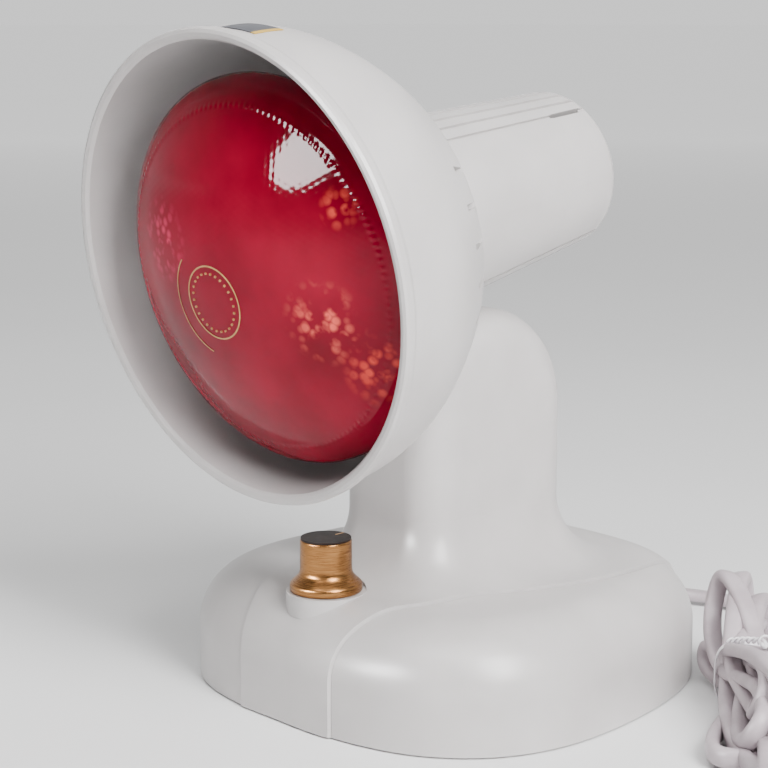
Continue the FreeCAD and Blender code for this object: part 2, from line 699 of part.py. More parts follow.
def lamp_housing():
    first, last = value("housing_start"), value("housing_end")
    wide, narrow = value("housing_front_radius"), value("housing_rear_radius")
    round_edge, wall = value("housing_edge_radius"), value("housing_wall")
    flange, front = value("flange_radius"), value("flange_start")
    profile = polygon([(wide - wall, first + 2), (flange - 6.4, front), (flange, front),
                       (flange, first), (wide, first), (narrow, last), (0, last),
                       (0, last - wall), (narrow - wall, last - wall), (wide - wall, first + 2)])
    solid = solid_of_turn(profile)
    corner = [e for e in flat_edges_at(solid, last) if e.Length > 100]
    inner = [e for e in flat_edges_at(solid, last - wall) if e.Length > 100]
    solid = solid.makeFillet(round_edge, corner).makeFillet(round_edge - wall, inner)

    taper = math.degrees(math.atan((wide - narrow) / (last - first)))
    width, depth = value("groove_width"), value("groove_depth")
    groove = Part.makeBox(4, width, last - first, Vector(-depth, -width / 2, 8))
    groove.rotate(Vector(), Y, -taper)
    groove.translate(Vector(wide, 0, first))
    slot = Part.makeBox(8, width + 0.4, 15, Vector(narrow - 5, -width / 2 - 0.2, last - 21))
    pitch = value("groove_pitch")
    spread = [pitch * (i - 3.5) for i in range(8)]
    angles = [90 + 1.1 * a for a in spread] + [270 + a for a in spread]
    ends = [270 + spread[0], 270 + spread[-1]]
    solid = solid.cut(at_angles(groove, angles) + at_angles(slot, ends))
    hole = Part.makeCylinder(1.7, 8, Vector(SHADE_SCREW_RADIUS, 0, front - 2))
    posts = [Part.makeCylinder(3.2, 9.35, Vector(x, 0, last - wall - 9.35)) for x in (-14, 14)]
    solid = solid.fuse(posts)
    holes = at_angles(hole, SHADE_SCREW_ANGLES)
    holes += [Part.makeCylinder(1.5, 9.4, Vector(x, 0, last - wall - 9.9)) for x in (-14, 14)]
    back = HEAD.inverse()
    pivot = back.multVec(Vector(0, value("pivot_back"), value("pivot_height")))
    holes.append(Part.makeCylinder(2.6, 45, pivot, -Y))
    holes += [Part.makeCylinder(1.7, 45, pivot + Vector(*p), -Y) for p in ARM_SCREWS]
    feature("lamp_housing", solid.cut(holes), HEAD)


def head_screws():
    front = value("flange_start")
    shade_screws = []
    for angle in SHADE_SCREW_ANGLES:
        turn = math.radians(angle)
        place = (SHADE_SCREW_RADIUS * math.cos(turn), SHADE_SCREW_RADIUS * math.sin(turn),
                 front - 1.65)
        shade_screws.append(screw(place, 5.4))
    group("shade_screws", shade_screws, HEAD)

    back = HEAD.inverse()
    pivot = back.multVec(Vector(0, value("pivot_back"), value("pivot_height")))
    slope = (value("housing_front_radius - housing_rear_radius")
             / value("housing_end - housing_start"))
    screws = []
    for side, _, behind in ARM_SCREWS:
        inside = (value("housing_front_radius - housing_wall")
                  - slope * (pivot.z + behind - value("housing_start")))
        screws.append(screw((side, inside - 4, pivot.z + behind), 5.4, ALONG_Y))
    group("arm_screws", screws, HEAD)


def lamp_holder():
    """The ceramic holder, its brass shell and contact, and the plate that carries it."""
    turned("lamp_holder",
           [("15.4", "97"), ("19.5", "97"), ("20.5", "98.5"), ("20.5", "117"), ("17.5", "121"),
            ("17.5", "134.3"), ("9", "134.3"), ("9", "136.8"), ("0", "136.8"),
            ("0", "131.6"), ("15.4", "131.6")], LAMP)
    turned("screw_shell",
           [("14.5", "98.5"), ("15.3", "98.5"), ("15.3", "126.5"), ("14.5", "126.5")], LAMP)
    turned("centre_contact",
           [("0", "130.1"), ("4", "130.1"), ("4", "131.5"), ("0", "131.5")], LAMP)
    carrier = less(rod("18", "1.5", ("0", "0", "137.5")),
                   rod("1.7", "10", ("-14", "0", "130")), rod("1.7", "10", ("14", "0", "130")))
    node(carrier, "holder_plate", HEAD)
    group("holder_screws", [screw((x, 0, 135.85), 10) for x in (-14, 14)], HEAD)


def head_lead():
    back = HEAD.inverse()
    pivot = back.multVec(Vector(0, value("pivot_back"), value("pivot_height")))
    solid, _, _ = tube([(0, pivot.y - 20, pivot.z), (0, 26.2, pivot.z), (0, 24.4, pivot.z + 7),
                        (0, 24.2, pivot.z + 25), (0, 22.5, pivot.z + 40)], 1.8)
    feature("head_lead", solid, HEAD)


# ---------------------------------------------------------------- lamp

# The lamp's outer curves as (radius, distance behind the shade's rim).
LENS_SHOULDER = [(57, 8.6), (59.8, 11.6), (60.5, 14.6), (60.3, 16.9)]
REFLECTOR = [(59.8, 18), (56.6, 25.5), (50.8, 33.5), (43.6, 41), (36, 47.8), (29, 54),
             (24.4, 60.5), (21.6, 69), (19.9, 79), (18, 89), (13.4, 96.6)]


def lens_points():
    """The domed face as a circle's arc, then the round shoulder."""
    front, radius = value("lamp_front"), value("lens_radius")
    face = [(r, front + radius - math.sqrt(radius ** 2 - r ** 2)) for r in (0, 15, 30, 44, 52)]
    return face + LENS_SHOULDER


def lamp():
    wall = value("glass_wall")
    outside = lens_points()
    inside = [(max(r * (1 - wall / 61), 0), height + wall * 1.1 * (1 - (r / 75) ** 2))
              for r, height in outside[:-1]]
    inside.append((outside[-1][0] - wall, outside[-1][1]))
    edges = [curve_through(outside).toShape(), curve_through(inside).toShape()]
    edges += polygon([outside[0], inside[0]]) + polygon([outside[-1], inside[-1]])
    feature("lamp_lens", solid_of_turn(edges), LAMP)
    feature("lamp_reflector", shell_of_turn(REFLECTOR, wall), LAMP)
    turned("lamp_cap",
           [("cap_radius - 0.6", "97"), ("cap_radius", "97"), ("cap_radius", "121"),
            ("8", "126"), ("7.4", "125.5"), ("cap_radius - 0.6", "120.6")], LAMP)
    turned("cap_insulator",
           [("4", "124.4"), ("7.2", "124.4"), ("7.2", "126.3"), ("7.8", "126.5"), ("5", "128.6"),
            ("4", "128.6")],
           LAMP)
    turned("cap_contact",
           [("0", "126"), ("3.9", "126"), ("3.9", "128.7"), ("4.6", "128.8"),
            ("3.5", "lamp_front + lamp_length"), ("0", "lamp_front + lamp_length")], LAMP)
    filament()


def filament():
    """The coiled filament, drawn as one round ring, and the stem and wires that hold it."""
    ring = Part.makeTorus(10, 0.8, Vector(0, 0, 36), Z, 0, 360, 300)
    feature("filament", ring, LAMP)
    stem = Part.makeCylinder(3.2, 34, Vector(0, 0, 60)).fuse(
        Part.makeCone(3.2, 8.5, 10, Vector(0, 0, 84)))
    spread = math.atan2(10 - 2.2, 60.5 - 37.3)
    length = (60.5 - 37.3) / math.cos(spread)
    wires = []
    for angle in (15, 105, 195, 285):
        turn = math.radians(angle)
        outward = Vector(math.cos(turn), math.sin(turn), 0)
        wires.append(Part.makeCylinder(0.45, length, outward * 2.2 + Z * 60.5,
                                       outward * math.sin(spread) - Z * math.cos(spread)))
    feature("filament_stem", stem.fuse(wires), LAMP)


# ---------------------------------------------------------------- mains cord

# The free cord's route: from the gland to the hank, and from the hank to the plug.
LEAD_ROUTE = [(0, 91.5, 11), (0.4, 104.5, 8.2), (6.2, 116.5, 4.4), (17, 124.6, 3.3),
              (30.5, 126, 3.3), (42.5, 119, 3.3), (50, 105, 3.3), (58, 88, 4.6), (68.5, 70.4, 9)]
TAIL_ROUTE = [(143, -19, 9), (151, -31.5, 6.4), (164.5, -38.5, 4), (179.5, -35.5, 3.4),
              (189.5, -24, 3.4), (190.5, -8.5, 4), (183.5, 6, 6), (172.5, 19.5, 9), (161, 32, 9.5)]
HANK_REAR, HANK_FRONT = Vector(68.5, 70.4, 0), Vector(143, -19, 0)
HANK_LIFT = 1.3
# Sections of the hank from rear to front: share of its length, half width, height.
HANK = [(0, 8.5, 25), (0.06, 14, 38), (0.16, 16, 42), (0.32, 16, 38), (0.5, 16, 33),
        (0.72, 19, 30), (0.9, 18, 25), (1, 8, 17)]


def bundle(extra):
    """The outer form of the hank, widened by extra."""
    along = HANK_FRONT - HANK_REAR
    across = Vector(along).normalize().cross(Z)
    wires = []
    for share, half, height in HANK:
        centre = HANK_REAR + along * share + Z * (height / 2 + HANK_LIFT)
        points = []
        for k in range(12):
            angle = math.radians(30 * k)
            points.append(centre + across * ((half + extra) * math.cos(angle))
                          + Z * ((height / 2 + extra) * math.sin(angle)))
        curve = Part.BSplineCurve()
        curve.interpolate(points, PeriodicFlag=True)
        wires.append(Part.Wire(curve.toShape()))
    return Part.makeLoft(wires, True)


def hank():
    """The tied hank and the twist tie round its middle."""
    feature("cord_hank", bundle(0))
    along = HANK_FRONT - HANK_REAR
    slab = Part.makeBox(60, 60, 4.5, Vector(-30, -30, -2.25))
    slab.Placement = Placement(HANK_REAR + along * TIE_SHARE + Z * 20, Rotation(Z, along))
    feature("hank_tie", bundle(1.1).common(slab).cut(bundle(0.25)))


TIE_SHARE = 0.38


def cord():
    radius = value("cord_width / 2")
    for label, route in (("cord_lead", LEAD_ROUTE), ("cord_tail", TAIL_ROUTE)):
        solid, length, radii = tube(route, radius)
        share = solid.Volume / (math.pi * radius ** 2 * length)
        print(label, "length", round(length, 1), "radii", radii, "volume share", round(share, 4))
        feature(label, solid)
    hank()
    plug()


def plug():
    """A moulded two-pin plug that lies beside the hank."""
    start = Vector(*TAIL_ROUTE[-1])
    heading = Vector(HANK_REAR - HANK_FRONT).normalize()
    relief = Part.makeCone(4, 6, 14)
    body = Part.makeBox(24, 17, 20, Vector(-12, -8.5, 13))
    body = body.makeFillet(4, [e for e in body.Edges if e.BoundBox.ZLength > 15])
    front = Part.makeBox(26, 17.6, 6, Vector(-13, -8.8, 33))
    front = front.makeFillet(4, [e for e in front.Edges if e.BoundBox.ZLength > 5])
    whole = relief.fuse([body, front])
    sockets = [Part.makeBox(1.5, 6.3, 9, Vector(x - 0.75, -3.15, 30.2)) for x in (-6.35, 6.35)]
    flat = Rotation(Z, heading)
    level = Rotation(heading, levelling(flat)).multiply(flat)
    place = Placement(start, level)
    feature("plug_body", whole.cut(sockets), place)
    pins = [Part.makeBox(1.4, 6.2, 25, Vector(x - 0.7, -3.1, 30.3)) for x in (-6.35, 6.35)]
    feature("plug_pins", Part.makeCompound(pins), place)


def levelling(turn):
    """The angle that lays the plug's broad side, its own x, level."""
    side, lift = turn.multVec(X), turn.multVec(Y)
    return math.degrees(math.atan2(-side.z, lift.z))


# ---------------------------------------------------------------- the whole object

def check():
    """Stops before anything is written if a feature failed."""
    doc.recompute()
    for item in doc.Objects:
        if "Invalid" in item.State or "Error" in item.State:
            raise RuntimeError(f"{item.Label} failed: {item.State}")
    for item in NODES:
        if item.Shape.isNull() or not item.Shape.isValid() or not item.Shape.Solids:
            raise RuntimeError(f"{item.Label} has no valid solid")


def write():
    os.makedirs("parts", exist_ok=True)
    for item in NODES:
        item.Shape.exportStep(f"parts/{item.Label}.step")
    print(len(NODES), "sub-parts")


for build in (base_shells, base_plate, base_hardware, dimmer, knob, wiring, hinge, tilt_arm,
              shade, shade_label, lamp_housing, head_screws, lamp_holder, head_lead, lamp, cord):
    build()
check()
write()
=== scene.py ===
# %% [markdown]
# # A tabletop heat lamp
# A moulded grey lamp with a bell shade, a red reflector lamp, a weighted base and a flat cord
# tied in a hank. The cells below give every solid its finish and replace the few pieces whose
# shape needs more than a turned or padded solid: the pressed-glass face of the lamp, the
# dial, the cord, its tie and its plug.

# %% load the frame
import math

import bmesh
import bpy
import numpy as np
from mathutils import Matrix, Vector


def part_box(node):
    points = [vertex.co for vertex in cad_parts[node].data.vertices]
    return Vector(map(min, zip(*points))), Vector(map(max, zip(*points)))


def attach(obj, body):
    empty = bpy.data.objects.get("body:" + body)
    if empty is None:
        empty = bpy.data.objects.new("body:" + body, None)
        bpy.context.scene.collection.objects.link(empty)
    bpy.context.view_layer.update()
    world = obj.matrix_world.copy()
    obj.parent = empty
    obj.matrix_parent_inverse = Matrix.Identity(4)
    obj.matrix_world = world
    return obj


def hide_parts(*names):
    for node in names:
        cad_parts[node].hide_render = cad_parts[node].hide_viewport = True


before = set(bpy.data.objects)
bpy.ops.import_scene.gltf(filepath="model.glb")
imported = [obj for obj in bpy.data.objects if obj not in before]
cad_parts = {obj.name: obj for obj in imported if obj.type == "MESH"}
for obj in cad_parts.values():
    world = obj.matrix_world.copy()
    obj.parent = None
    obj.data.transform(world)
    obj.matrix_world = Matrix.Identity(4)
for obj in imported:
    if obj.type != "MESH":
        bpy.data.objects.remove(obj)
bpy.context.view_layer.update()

MM = 0.001
print("frame loaded:", len(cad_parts), "nodes")

# %% [markdown]
# ## The camera
# The view is three-quarter, from the front right and a little above. A long lens keeps the
# perspective flat, as in a catalogue picture. A camera looks along its own -Z, so its rotation
# is found from the direction to the point that it looks at.

# %% camera
eye = Vector((0.4516, -0.4756, 0.2187))
target = Vector((0, -0.0321, 0.1032))
lens_data = bpy.data.cameras.new("camera")
lens_data.lens, lens_data.sensor_width = 93.75, 36
camera = bpy.data.objects.new("camera", lens_data)
camera.location = eye
camera.rotation_euler = (target - eye).to_track_quat("-Z", "Y").to_euler()
bpy.context.collection.objects.link(camera)
bpy.context.scene.camera = camera
print("camera", round((eye - target).length, 3), "m from what it looks at")

# %% [markdown]
# ## Two helpers for meshes
# Most pieces here are made as a list of points and a list of faces. One function turns them
# into an object whose faces all point outwards, because a listed order of corners is easy to
# get wrong, and a second one joins rings of points into a closed skin.

# %% mesh helpers
def mesh_object(name, points, faces, smooth=True):
    """A mesh object at the origin, its doubles merged and its faces pointing outwards."""
    mesh = bpy.data.meshes.new(name)
    mesh.from_pydata([tuple(p) for p in points], [], faces)
    work = bmesh.new()
    work.from_mesh(mesh)
    bmesh.ops.remove_doubles(work, verts=work.verts, dist=1e-7)
    bmesh.ops.recalc_face_normals(work, faces=work.faces)
    work.to_mesh(mesh)
    work.free()
    for face in mesh.polygons:
        face.use_smooth = smooth
    piece = bpy.data.objects.new(name, mesh)
    bpy.context.collection.objects.link(piece)
    return piece


def skin(rings, close_ends=True):
    """Points and faces of a tube through rings of equally many points."""
    count = len(rings[0])
    points = [p for ring in rings for p in ring]
    faces = []
    for i in range(len(rings) - 1):
        for k in range(count):
            after = (k + 1) % count
            faces.append((i * count + k, i * count + after,
                          (i + 1) * count + after, (i + 1) * count + k))
    if close_ends:
        faces.append(tuple(range(count)))
        faces.append(tuple(len(points) - count + k for k in range(count)))
    return points, faces


print("helpers ready")

# %% [markdown]
# ## The cord's route
# The mains cord is a limp flat twin cord, 6.2 mm wide and 4.4 mm thick. It leaves the base at
# the back, lies on the table and goes into a hank that is tied near one end. A cord follows a
# smooth line, so its route is a NURBS curve whose control points are the route's points: the
# curve passes inside each corner, as a real cord does. The turns of the hank are more points
# of the same curve. Each turn has a rear loop and a front loop, and all of them run through
# the tie.

# %% route points
LEAD = [(0, 91.5, 11), (0.4, 104.5, 8.2), (6.2, 116.5, 4.4), (17, 124.6, 3.3),
        (30.5, 126, 3.3), (42.5, 119, 3.3), (50, 105, 3.3), (58, 88, 4.6), (68.5, 70.4, 9)]
TAIL = [(143, -19, 9), (151, -31.5, 6.4), (164.5, -38.5, 4), (179.5, -35.5, 3.4),
        (189.5, -24, 3.4), (190.5, -8.5, 4), (183.5, 6, 6), (172.5, 19.5, 9), (161, 32, 9.5)]
CORD_WIDTH, CORD_THICKNESS = 6.2, 4.4
hank_rear, hank_front = Vector(LEAD[-1]), Vector(TAIL[0])
hank_along = (hank_front - hank_rear).normalized()
hank_across = Vector((-hank_along.y, hank_along.x, 0))
UP = Vector((0, 0, 1))
# Each loop: how far along the hank its tip is, its middle across and up, its half width, and
# the tilt of its plane in degrees, where 0 lies flat and 90 stands up.
REAR_LOOPS = [(17, -12, 10.5, 5, 84), (5.5, 1, 28.5, 10.5, 96), (8.5, -8.5, 30, 10, 78),
              (9, 8.5, 22, 9.5, 104), (12, 3, 16, 7.5, 60), (14, 7, 7.5, 6, 25),
              (15, -4, 7, 6.5, -8)]
FRONT_LOOPS = [(99, -7.5, 5, 9, 2), (110, 4, 6.5, 9, 10), (104, 8, 14, 8, 28),
               (101, -2.5, 14.5, 8, 58), (108, 6.5, 18, 6, 80), (92, 0, 20, 7, 70),
              (98, 5, 22, 7, 85)]
# The tie: how far along the hank it is, the height of its lowest strand, and its rows of strands.
TIE_PLACE, TIE_FLOOR = 44, 3.6
TIE_ROWS, TIE_COLUMNS, ROW_STEP, COLUMN_STEP = 5, 3, 4.4, 6.6
# Where the last strand leaves the hank, along, across and up.
LAST_STRAND = (85, 2, 14)
# One loop's outline from the tie and back: share of the way to its tip, and side.
LOOP_STEPS = [(0.45, 0.8), (0.8, 1), (1, 0.6), (1, -0.6), (0.8, -1), (0.45, -0.8)]


def hank_point(along, across, up):
    """A point of the hank's own frame, in the object's frame."""
    place = hank_rear + hank_along * along + hank_across * across
    return Vector((place.x, place.y, up))


def tie_slot(number):
    """Where a strand passes through the tie: across and up."""
    row, column = divmod(number, TIE_COLUMNS)
    return (column - 1) * COLUMN_STEP, TIE_FLOOR + row * ROW_STEP


def loop_points(loop, before, after):
    """Control points of one loop with the direction its flat side faces."""
    tip, across, up, half, tilt = loop
    turn = math.radians(tilt)
    spread = (math.cos(turn), math.sin(turn))
    broad = -hank_across * math.sin(turn) + UP * math.cos(turn)
    found = []
    for share, side in LOOP_STEPS:
        slot = tie_slot(before if side > 0 else after)
        found.append((hank_point(TIE_PLACE + share * (tip - TIE_PLACE),
                                 slot[0] + share * (across - slot[0]) + side * half * spread[0],
                                 slot[1] + share * (up - slot[1]) + side * half * spread[1]),
                      broad))
    return found


def in_tie(number):
    """The control point of a strand in the tie, where its broad side stands across."""
    return hank_point(TIE_PLACE, *tie_slot(number)), hank_across


def lying(points):
    """Control points of a stretch whose broad side lies level."""
    found = []
    for i, p in enumerate(points):
        ahead = Vector(points[min(i + 1, len(points) - 1)]) - Vector(points[max(i - 1, 0)])
        found.append((Vector(p), ahead.cross(UP).normalized()))
    return found


line = lying(LEAD)
strand = 0
for front_loop, rear_loop in zip(FRONT_LOOPS, REAR_LOOPS):
    line += [in_tie(strand), *loop_points(front_loop, strand, strand + 1)]
    line += [in_tie(strand + 1), *loop_points(rear_loop, strand + 1, strand + 2)]
    strand += 2
line += [in_tie(strand), (hank_point(*LAST_STRAND), hank_across), *lying(TAIL)]
print(len(line), "control points")

# %% [markdown]
# ## The cord itself
# A bevelled curve would make a round tube. A flat cord needs to know which way its broad side
# faces, so a second curve, with the same number of points, carries that direction: both curves
# are evaluated the same way, so their samples go in pairs. The section is a soft flat shape
# with a shallow valley between the two cores.

# %% the spline and its samples
SAMPLES_PER_POINT = 7


def samples_of(points):
    """Points along a NURBS spline of order 3, as an unbevelled curve gives them."""
    data = bpy.data.curves.new("route", "CURVE")
    data.dimensions, data.resolution_u = "3D", SAMPLES_PER_POINT
    spline = data.splines.new("NURBS")
    spline.points.add(len(points) - 1)
    for point, place in zip(spline.points, points):
        point.co = (*place, 1)
    spline.order_u = 3
    spline.use_endpoint_u = True
    holder = bpy.data.objects.new("route", data)
    bpy.context.collection.objects.link(holder)
    bpy.context.view_layer.update()
    found = bpy.data.meshes.new_from_object(
        holder.evaluated_get(bpy.context.evaluated_depsgraph_get()))
    places = [v.co.copy() for v in found.vertices]
    bpy.data.objects.remove(holder)
    bpy.data.meshes.remove(found)
    return places


broad_sides, last_side = [], Vector((1, 0, 0))
for _, side in line:
    last_side = -side if side.dot(last_side) < 0 else side
    broad_sides.append(last_side.copy())
route = samples_of([place * MM for place, _ in line])
sides = samples_of(broad_sides)

# %% the flat section, swept
RING = 14
VALLEY_DEPTH, VALLEY_WIDTH, CORNER = 0.14, 0.22, 0.75


def rounded(cosine, power):
    """A cosine or sine bent towards a rounded rectangle."""
    return math.copysign(abs(cosine) ** power, cosine)


rings = []
for i, place in enumerate(route):
    ahead = (route[min(i + 1, len(route) - 1)] - route[max(i - 1, 0)]).normalized()
    across = (sides[i] - ahead * sides[i].dot(ahead)).normalized()
    thin = ahead.cross(across)
    ring = []
    for k in range(RING):
        turn = 2 * math.pi * k / RING
        wide = rounded(math.cos(turn), CORNER)
        deep = rounded(math.sin(turn), CORNER)
        valley = 1 - VALLEY_DEPTH * math.exp(-(wide / VALLEY_WIDTH) ** 2)
        ring.append(place + across * (wide * CORD_WIDTH / 2 * MM)
                    + thin * (deep * valley * CORD_THICKNESS / 2 * MM))
    rings.append(ring)
cord = mesh_object("flat_cord", *skin(rings))
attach(cord, "base")
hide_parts("cord_lead", "cord_tail", "cord_hank")
print("cord faces", len(cord.data.polygons))

# %% [markdown]
# ## The twist tie
# A white paper-covered wire holds the hank. It goes once round the strands and its two ends
# are twisted together. It is a flat ribbon swept along a closed loop, and two thin strands
# wound round each other for the ends.

# %% tie
BAND_WIDE, BAND_DEEP, BAND_CORNER, BAND_LEAN = 2.4 * MM, 0.7 * MM, 0.6, 3.5 * MM
BAND_START, BAND_SWEEP, BAND_STEPS = 118, 352, 60
END_LENGTH, END_WIDE, END_DEEP, END_STEPS, END_TURNS = 17 * MM, 1.3 * MM, 0.8 * MM, 48, 3.5
END_RADIUS, END_SPLAY, SPLAY_FROM, END_DROP = 0.75 * MM, 1.6 * MM, 0.8, 2.2 * MM


def swept(name, path, wide, deep, facing, sides_count=10):
    """A closed-ended ribbon of elliptical section along a path of metres."""
    found = []
    for i, place in enumerate(path):
        ahead = (path[min(i + 1, len(path) - 1)] - path[max(i - 1, 0)]).normalized()
        out = facing(place)
        out = (out - ahead * out.dot(ahead)).normalized()
        over = ahead.cross(out)
        found.append([place + over * (math.cos(t) * wide / 2) + out * (math.sin(t) * deep / 2)
                      for t in (2 * math.pi * k / sides_count for k in range(sides_count))])
    return mesh_object(name, *skin(found))


bundle_middle = hank_point(TIE_PLACE, 0, TIE_FLOOR + ROW_STEP * (TIE_ROWS - 1) / 2) * MM
half_wide = (COLUMN_STEP + CORD_WIDTH / 2 + 1) * MM
half_high = (ROW_STEP * (TIE_ROWS - 1) / 2 + CORD_THICKNESS / 2 + 0.5) * MM


def tie_path_point(turn):
    """A point of the tie's loop: a rounded square that leans a little along the hank."""
    wide = rounded(math.cos(turn), BAND_CORNER) * half_wide
    high = rounded(math.sin(turn), BAND_CORNER) * half_high
    lean = BAND_LEAN * math.sin(turn + 0.6)
    return bundle_middle + hank_across * wide + UP * high + hank_along * lean


loop = [tie_path_point(math.radians(BAND_START - BAND_SWEEP * i / BAND_STEPS))
        for i in range(BAND_STEPS + 1)]
band = swept("tie_band", loop, BAND_WIDE, BAND_DEEP, lambda p: p - bundle_middle)
twist_start = tie_path_point(math.radians(BAND_START)) + UP * 0.9 * MM
twist_heading = (hank_across * 0.5 + hank_along * 0.55 + UP * 0.28).normalized()
twist_side = twist_heading.cross(UP).normalized()
twist_up = twist_side.cross(twist_heading)
ends = []
for phase in (0, math.pi):
    wire = []
    for i in range(END_STEPS + 1):
        far = i / END_STEPS
        turn = phase + far * END_TURNS * 2 * math.pi
        radius = END_RADIUS + END_SPLAY * max(0, far - SPLAY_FROM) / (1 - SPLAY_FROM)
        wire.append(twist_start + twist_heading * (far * END_LENGTH) - UP * END_DROP * far ** 2
                    + (twist_side * math.cos(turn) + twist_up * math.sin(turn)) * radius)
    ends.append(swept(f"tie_end_{len(ends) + 1}", wire, END_WIDE, END_DEEP,
                      lambda p: twist_up, 8))
tie_pieces = [band, *ends]
for piece in tie_pieces:
    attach(piece, "base")
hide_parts("hank_tie")
print("tie:", len(tie_pieces), "pieces")

# %% [markdown]
# ## Repeats with Geometry Nodes
# A row of printed dots is one shape repeated round a ring. A Geometry Nodes tree does that: it
# resamples a curve, puts a small block on each point, turned to the curve, and gives the
# result its material. The export wants plain meshes, so the result is realized and turned
# into a mesh.

# %% a tree that repeats a block along a curve
def add(tree, kind, links=(), **settings):
    """Adds a node: settings by attribute, socket name or _number, links as (socket, source)."""
    made = tree.nodes.new(kind)
    for name, amount in settings.items():
        if name[0] == "_":
            made.inputs[int(name[1:])].default_value = amount
        elif hasattr(made, name):
            setattr(made, name, amount)
        else:
            made.inputs[name].default_value = amount
    for socket, source in links:
        tree.links.new(source, made.inputs[socket])
    return made


repeat_tree = bpy.data.node_groups.new("repeat_along_curve", "GeometryNodeTree")
for name, kind in (("Path", "NodeSocketGeometry"), ("Count", "NodeSocketInt"),
                   ("Block size", "NodeSocketVector"), ("Finish", "NodeSocketMaterial")):
    repeat_tree.interface.new_socket(name, in_out="INPUT", socket_type=kind)
repeat_tree.interface.new_socket("Blocks", in_out="OUTPUT", socket_type="NodeSocketGeometry")
given = add(repeat_tree, "NodeGroupInput").outputs
spread_points = add(repeat_tree, "GeometryNodeCurveToPoints", mode="COUNT",
                    links=[("Curve", given["Path"]), ("Count", given["Count"])])
one_block = add(repeat_tree, "GeometryNodeMeshCube", links=[("Size", given["Block size"])])
placed = add(repeat_tree, "GeometryNodeInstanceOnPoints",
             links=[("Points", spread_points.outputs["Points"]),
                    ("Instance", one_block.outputs["Mesh"]),
                    ("Rotation", spread_points.outputs["Rotation"])])
real = add(repeat_tree, "GeometryNodeRealizeInstances",
           links=[("Geometry", placed.outputs["Instances"])])
painted = add(repeat_tree, "GeometryNodeSetMaterial",
              links=[("Geometry", real.outputs["Geometry"]), ("Material", given["Finish"])])
add(repeat_tree, "NodeGroupOutput", links=[("Blocks", painted.outputs["Geometry"])])


def repeat(name, places, count, size, finish):
    """Blocks round a closed curve through places, as one plain mesh object."""
    data = bpy.data.curves.new(name + "_path", "CURVE")
    data.dimensions = "3D"
    spline = data.splines.new("POLY")
    spline.points.add(len(places) - 1)
    for point, place in zip(spline.points, places):
        point.co = (*place, 1)
    spline.use_cyclic_u = True
    holder = bpy.data.objects.new(name + "_path", data)
    bpy.context.collection.objects.link(holder)
    modifier = holder.modifiers.new("repeat", "NODES")
    modifier.node_group = repeat_tree
    values = {"Count": count, "Block size": size, "Finish": finish}
    for item in repeat_tree.interface.items_tree:
        if item.item_type == "SOCKET" and item.in_out == "INPUT" and item.name in values:
            modifier[item.identifier] = values[item.name]
    bpy.context.view_layer.update()
    mesh = bpy.data.meshes.new_from_object(
        holder.evaluated_get(bpy.context.evaluated_depsgraph_get()))
    bpy.data.objects.remove(holder)
    piece = bpy.data.objects.new(name, mesh)
    bpy.context.collection.objects.link(piece)
    return piece


print("repeat tree:", len(repeat_tree.nodes), "nodes")

# %% [markdown]
# ## Colours
# Finishes are given as the hex codes that a paint or plastic chart uses. Those are sRGB values,
# and a shader wants linear light, so one function turns them.

# %% colour and material helpers
def linear(code):
    """A hex colour such as CFCBCA as linear red, green, blue and alpha."""
    parts = [int(code[i:i + 2], 16) / 255 for i in (0, 2, 4)]
    return [p / 12.92 if p <= 0.04045 else ((p + 0.055) / 1.055) ** 2.4 for p in parts] + [1]


def ranged(tree, source, low, high, out_low, out_high):
    """The source's value, moved from the range low to high to the range out_low to out_high."""
    return add(tree, "ShaderNodeMapRange", links=[("Value", source)],
               _1=low, _2=high, _3=out_low, _4=out_high).outputs["Result"]


def new_material(name, **shader):
    """A material with a Principled shader whose plain values sit on its own sockets."""
    material = bpy.data.materials.new(name)
    material.use_nodes = True
    tree = material.node_tree
    tree.nodes.clear()
    surface = add(tree, "ShaderNodeBsdfPrincipled")
    for socket, amount in shader.items():
        surface.inputs[socket.replace("_", " ")].default_value = amount
    add(tree, "ShaderNodeOutputMaterial", links=[("Surface", surface.outputs["BSDF"])])
    place = add(tree, "ShaderNodeTexCoord").outputs["Object"]
    return material, tree, surface, place


def grain(tree, surface, place, size_mm, depth_mm, strength=0.5, detail=3, stretch=None):
    """A noise bump whose bumps are size_mm across and depth_mm deep; returns its height."""
    if stretch:
        place = add(tree, "ShaderNodeMapping", links=[("Vector", place)],
                    Scale=stretch).outputs["Vector"]
    noise = add(tree, "ShaderNodeTexNoise", links=[("Vector", place)],
                Scale=1000 / size_mm, Detail=detail)
    bump = add(tree, "ShaderNodeBump", links=[("Height", noise.outputs["Fac"])],
               Strength=strength, Distance=depth_mm / 1000)
    tree.links.new(bump.outputs["Normal"], surface.inputs["Normal"])
    return noise.outputs["Fac"]


def mottled(tree, surface, place, size_mm, dark, light, low=0.35, high=0.65):
    """Lets the base colour drift between two hex colours over patches of size_mm."""
    noise = add(tree, "ShaderNodeTexNoise", links=[("Vector", place)],
                Scale=1000 / size_mm, Detail=4)
    ramp = add(tree, "ShaderNodeValToRGB", links=[("Fac", noise.outputs["Fac"])])
    ramp.color_ramp.elements[0].position, ramp.color_ramp.elements[1].position = low, high
    ramp.color_ramp.elements[0].color = linear(dark)
    ramp.color_ramp.elements[1].color = linear(light)
    tree.links.new(ramp.outputs["Color"], surface.inputs["Base Color"])
    return ramp


def rough_drift(tree, surface, place, size_mm, low, high):
    """Lets the roughness drift between two values over patches of size_mm."""
    noise = add(tree, "ShaderNodeTexNoise", links=[("Vector", place)],
                Scale=1000 / size_mm, Detail=5)
    tree.links.new(ranged(tree, noise.outputs["Fac"], 0, 1, low, high),
                   surface.inputs["Roughness"])


print("material helpers ready")
